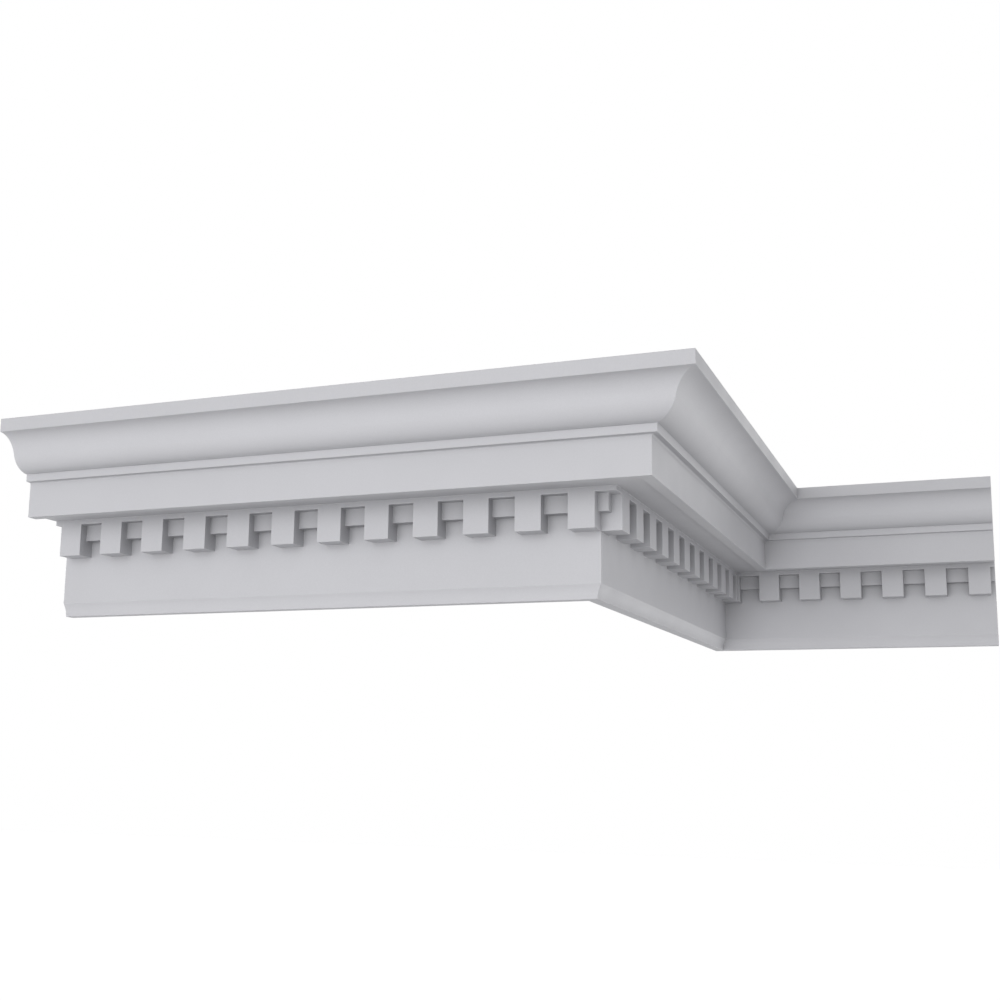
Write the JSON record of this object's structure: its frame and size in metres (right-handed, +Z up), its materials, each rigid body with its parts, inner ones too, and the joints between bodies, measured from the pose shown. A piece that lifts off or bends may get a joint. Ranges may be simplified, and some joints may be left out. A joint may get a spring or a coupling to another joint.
{
  "type": "cornice moulding",
  "caption": "Dentil cornice moulding mitred round an outside and an inside wall corner, with crown fillet, cyma, corona, dentils and plain frieze.",
  "frame": {"origin": "the wall's outside corner, at the moulding's lower edge", "axes": "+Z up; +Y into the wall behind the front length; +X along the front length, past the outside corner"},
  "size_m": [0.9875, 0.762, 0.2],
  "materials": {
    "primed_foam": "factory-primed off-white rigid polyurethane, smooth and matte"
  },
  "bodies": {
    "root": {"front_length": "primed_foam", "return_length": "primed_foam", "rear_length": "primed_foam"}
  },
  "joints": []
}
